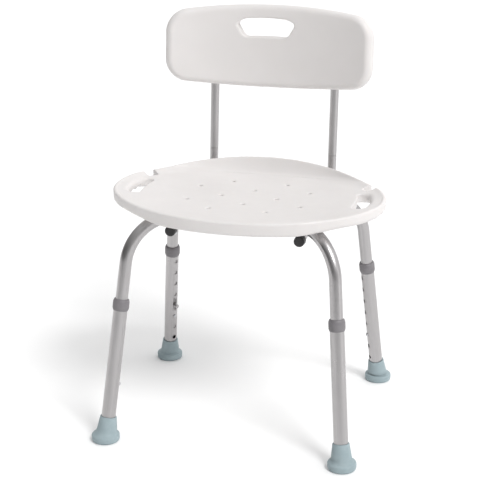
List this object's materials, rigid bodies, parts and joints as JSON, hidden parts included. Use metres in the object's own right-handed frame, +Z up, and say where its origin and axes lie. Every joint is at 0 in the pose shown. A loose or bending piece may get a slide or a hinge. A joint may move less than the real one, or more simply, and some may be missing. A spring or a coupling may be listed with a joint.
{
  "type": "shower chair",
  "caption": "Shower chair with an oval moulded seat, curved moulded backrest and splayed aluminium legs that adjust in height on snap buttons.",
  "frame": {"origin": "on the floor, at the middle of the chair's footprint", "axes": "+Z up, +X towards the right as seen by someone who faces the chair, +Y towards the backrest"},
  "size_m": [0.5, 0.441, 0.7408],
  "materials": {
    "shell": "satin moulded polyethylene",
    "tube": "satin anodised",
    "collar": "matte grey",
    "tip": "matte grey rubber",
    "cap": "matte black vinyl",
    "fixing": "zinc plated",
    "spring": "spring steel",
    "insert": "plain"
  },
  "bodies": {
    "frame": {"seat_pan": "shell", "backrest_panel": "shell", "cross_tube_a": "tube", "cross_tube_b": "tube", "back_tube_left": "tube", "back_tube_right": "tube", "back_post_left": "tube", "back_post_right": "tube", "post_plugs": "cap", "tube_cap_left": "cap", "tube_cap_right": "cap", "backrest_screws": "fixing", "saddle_spacers": "cap", "frame_bolts": "fixing", "frame_washers": "fixing", "seat_inserts": "insert", "centre_bolt": "fixing", "centre_nut": "fixing", "button_spring_fl": "spring", "button_spring_fr": "spring", "button_spring_rl": "spring", "button_spring_rr": "spring", "back_spring_left": "spring", "back_spring_right": "spring"},
    "leg_fl": {"leg_tube_fl": "tube", "leg_collar_fl": "collar", "rubber_tip_fl": "tip", "tip_washer_fl": "fixing"},
    "button_fl": {"leg_button_fl": "fixing"},
    "leg_fr": {"leg_tube_fr": "tube", "leg_collar_fr": "collar", "rubber_tip_fr": "tip", "tip_washer_fr": "fixing"},
    "button_fr": {"leg_button_fr": "fixing"},
    "leg_rl": {"leg_tube_rl": "tube", "leg_collar_rl": "collar", "rubber_tip_rl": "tip", "tip_washer_rl": "fixing"},
    "button_rl": {"leg_button_rl": "fixing"},
    "leg_rr": {"leg_tube_rr": "tube", "leg_collar_rr": "collar", "rubber_tip_rr": "tip", "tip_washer_rr": "fixing"},
    "button_rr": {"leg_button_rr": "fixing"},
    "back_button_left": {"back_button_left": "fixing"},
    "back_button_right": {"back_button_right": "fixing"}
  },
  "joints": [
    {"name": "leg_fl_height", "type": "slide", "parent": "frame", "child": "leg_fl", "axis": [-0.0865, -0.1612, -0.9831], "range_m": [-0.0508, 0.1016]},
    {"name": "button_fl_press", "type": "slide", "parent": "frame", "child": "button_fl", "axis": [-0.8123, -0.56, 0.1633], "range_m": [0, 0.0047], "stiffness_N_per_m": 1500, "deforming": ["button_spring_fl"]},
    {"name": "leg_fr_height", "type": "slide", "parent": "frame", "child": "leg_fr", "axis": [0.0865, -0.1612, -0.9831], "range_m": [-0.0508, 0.1016]},
    {"name": "button_fr_press", "type": "slide", "parent": "frame", "child": "button_fr", "axis": [0.8123, -0.56, 0.1633], "range_m": [0, 0.0047], "stiffness_N_per_m": 1500, "deforming": ["button_spring_fr"]},
    {"name": "leg_rl_height", "type": "slide", "parent": "frame", "child": "leg_rl", "axis": [-0.0865, 0.1612, -0.9831], "range_m": [-0.0508, 0.1016]},
    {"name": "button_rl_press", "type": "slide", "parent": "frame", "child": "button_rl", "axis": [-0.8123, 0.56, 0.1633], "range_m": [0, 0.0047], "stiffness_N_per_m": 1500, "deforming": ["button_spring_rl"]},
    {"name": "leg_rr_height", "type": "slide", "parent": "frame", "child": "leg_rr", "axis": [0.0865, 0.1612, -0.9831], "range_m": [-0.0508, 0.1016]},
    {"name": "button_rr_press", "type": "slide", "parent": "frame", "child": "button_rr", "axis": [0.8123, 0.56, 0.1633], "range_m": [0, 0.0047], "stiffness_N_per_m": 1500, "deforming": ["button_spring_rr"]},
    {"name": "back_button_left_press", "type": "slide", "parent": "frame", "child": "back_button_left", "axis": [0, -0.9965, 0.0837], "range_m": [0, 0.0022], "stiffness_N_per_m": 1500, "deforming": ["back_spring_left"]},
    {"name": "back_button_right_press", "type": "slide", "parent": "frame", "child": "back_button_right", "axis": [0, -0.9965, 0.0837], "range_m": [0, 0.0022], "stiffness_N_per_m": 1500, "deforming": ["back_spring_right"]}
  ]
}
